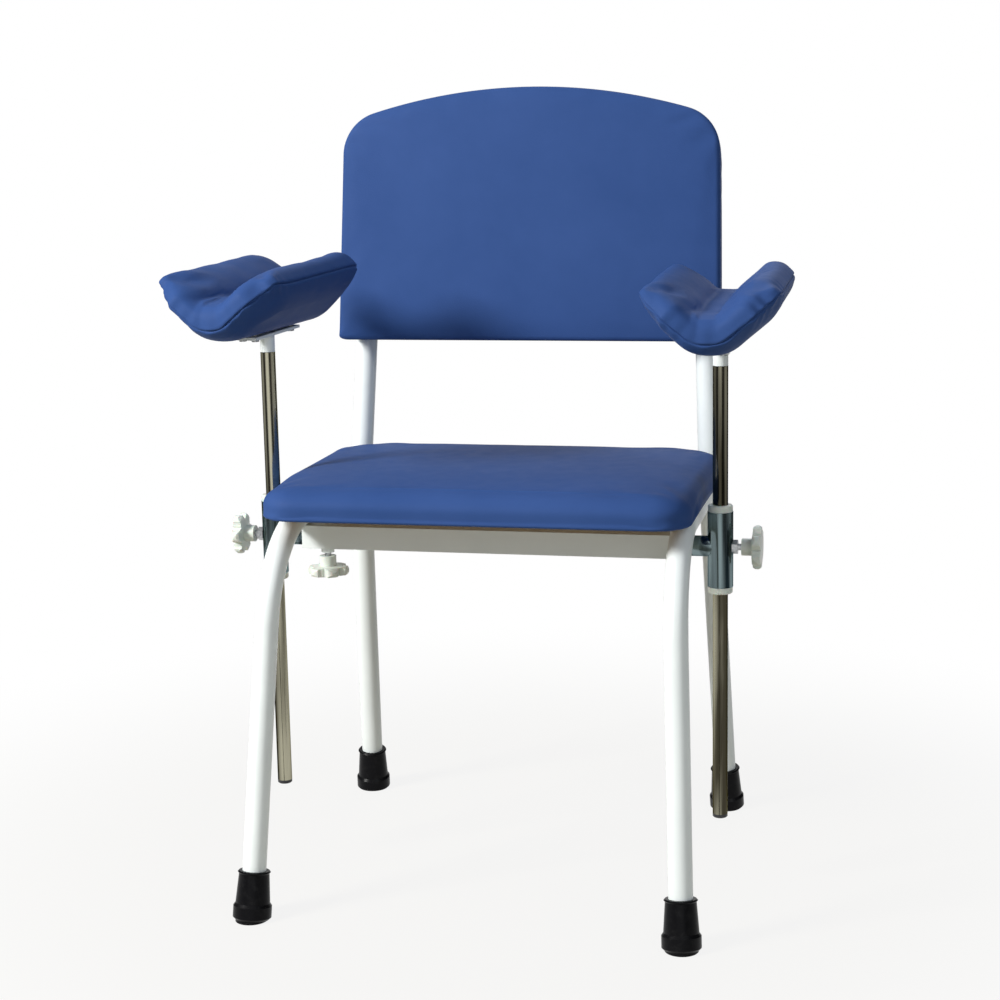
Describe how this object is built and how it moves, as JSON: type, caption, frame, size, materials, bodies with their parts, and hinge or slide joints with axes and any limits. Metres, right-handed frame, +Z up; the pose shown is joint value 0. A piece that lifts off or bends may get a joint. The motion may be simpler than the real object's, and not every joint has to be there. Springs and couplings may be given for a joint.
{
  "type": "phlebotomy chair",
  "caption": "Phlebotomy chair with a bent tube frame, padded seat and backrest, and saddle arm rests that rise, swivel and clamp; one arm also slides sideways.",
  "frame": {"origin": "on the floor, on the chair's middle plane, midway between the front and the rear feet", "axes": "+Z up; the sitter faces -Y; +X is the sitter's left"},
  "size_m": [0.6368, 0.4772, 0.8556],
  "materials": {
    "frame_paint": "gloss white powder coat",
    "vinyl": "smooth semi-gloss blue vinyl",
    "chrome": "polished",
    "rubber": "moulded black",
    "white_nylon": "moulded, slightly creamy white",
    "zinc_steel": "zinc plated",
    "black_plastic": "moulded black",
    "plywood": "plain ply"
  },
  "bodies": {
    "chair": {"side_frame_left": "frame_paint", "side_frame_right": "frame_paint", "rear_upright_left": "frame_paint", "rear_upright_right": "frame_paint", "arm_beam": "frame_paint", "rear_crossbar": "frame_paint", "ferrule_front_left": "rubber", "ferrule_front_right": "rubber", "ferrule_rear_left": "rubber", "ferrule_rear_right": "rubber", "upright_plugs": "black_plastic", "seat_board": "plywood", "seat_cushion": "vinyl", "seat_screws": "zinc_steel", "backrest_board": "plywood", "backrest_cushion": "vinyl", "backrest_bolts": "zinc_steel", "beam_nut": "frame_paint", "sleeve_left": "chrome", "upper_bush_left": "white_nylon", "lower_bush_left": "white_nylon", "sleeve_nut_left": "zinc_steel"},
    "right_slider": {"sleeve_right": "chrome", "upper_bush_right": "white_nylon", "lower_bush_right": "white_nylon", "sleeve_nut_right": "zinc_steel"},
    "beam_screw": {"beam_stud": "zinc_steel"},
    "beam_grip": {"beam_knob": "white_nylon"},
    "left_arm": {"arm_rod_left": "chrome", "rod_plug_left": "black_plastic"},
    "left_rest": {"pad_post_left": "frame_paint", "pad_board_left": "zinc_steel", "arm_pad_left": "vinyl", "pad_screws_left": "zinc_steel"},
    "left_screw": {"sleeve_stud_left": "zinc_steel"},
    "left_grip": {"sleeve_knob_left": "white_nylon"},
    "right_arm": {"arm_rod_right": "chrome", "rod_plug_right": "black_plastic"},
    "right_rest": {"pad_post_right": "frame_paint", "pad_board_right": "zinc_steel", "arm_pad_right": "vinyl", "pad_screws_right": "zinc_steel"},
    "right_screw": {"sleeve_stud_right": "zinc_steel"},
    "right_grip": {"sleeve_knob_right": "white_nylon"}
  },
  "joints": [
    {"name": "right_arm_out", "type": "slide", "parent": "chair", "child": "right_slider", "axis": [-1, 0, 0], "range_m": [0, 0.08]},
    {"name": "left_arm_height", "type": "slide", "parent": "chair", "child": "left_arm", "axis": [0, 0, 1], "range_m": [-0.08, 0.235]},
    {"name": "left_rest_swivel", "type": "hinge", "parent": "left_arm", "child": "left_rest", "pos_m": [0.245, -0.04699, 0.56], "axis": [0, 0, 1], "continuous": true},
    {"name": "left_screw_travel", "type": "slide", "parent": "chair", "child": "left_screw", "axis": [1, 0, 0], "range_m": [0, 0.00375]},
    {"name": "left_knob_turn", "type": "hinge", "parent": "left_screw", "child": "left_grip", "pos_m": [0.2635, -0.04699, 0.37745], "axis": [1, 0, 0], "range_deg": [0, 1081]},
    {"name": "right_arm_height", "type": "slide", "parent": "right_slider", "child": "right_arm", "axis": [0, 0, 1], "range_m": [-0.09, 0.225]},
    {"name": "right_rest_swivel", "type": "hinge", "parent": "right_arm", "child": "right_rest", "pos_m": [-0.245, -0.04699, 0.56], "axis": [0, 0, 1], "continuous": true},
    {"name": "right_screw_travel", "type": "slide", "parent": "right_slider", "child": "right_screw", "axis": [-1, 0, 0], "range_m": [0, 0.00375]},
    {"name": "right_knob_turn", "type": "hinge", "parent": "right_screw", "child": "right_grip", "pos_m": [-0.2635, -0.04699, 0.37745], "axis": [-1, 0, 0], "range_deg": [0, 1081]},
    {"name": "beam_screw_travel", "type": "slide", "parent": "chair", "child": "beam_screw", "axis": [0, 0, -1], "range_m": [0, 0.00375]},
    {"name": "beam_knob_turn", "type": "hinge", "parent": "beam_screw", "child": "beam_grip", "pos_m": [-0.185, -0.04699, 0.37745], "axis": [0, 0, -1], "range_deg": [0, 1081]}
  ],
  "couplings": [
    {"joint": "left_knob_turn", "follows": "left_screw_travel", "rad_per_m": 5026.5},
    {"joint": "right_knob_turn", "follows": "right_screw_travel", "rad_per_m": 5026.5},
    {"joint": "beam_knob_turn", "follows": "beam_screw_travel", "rad_per_m": 5026.5}
  ]
}
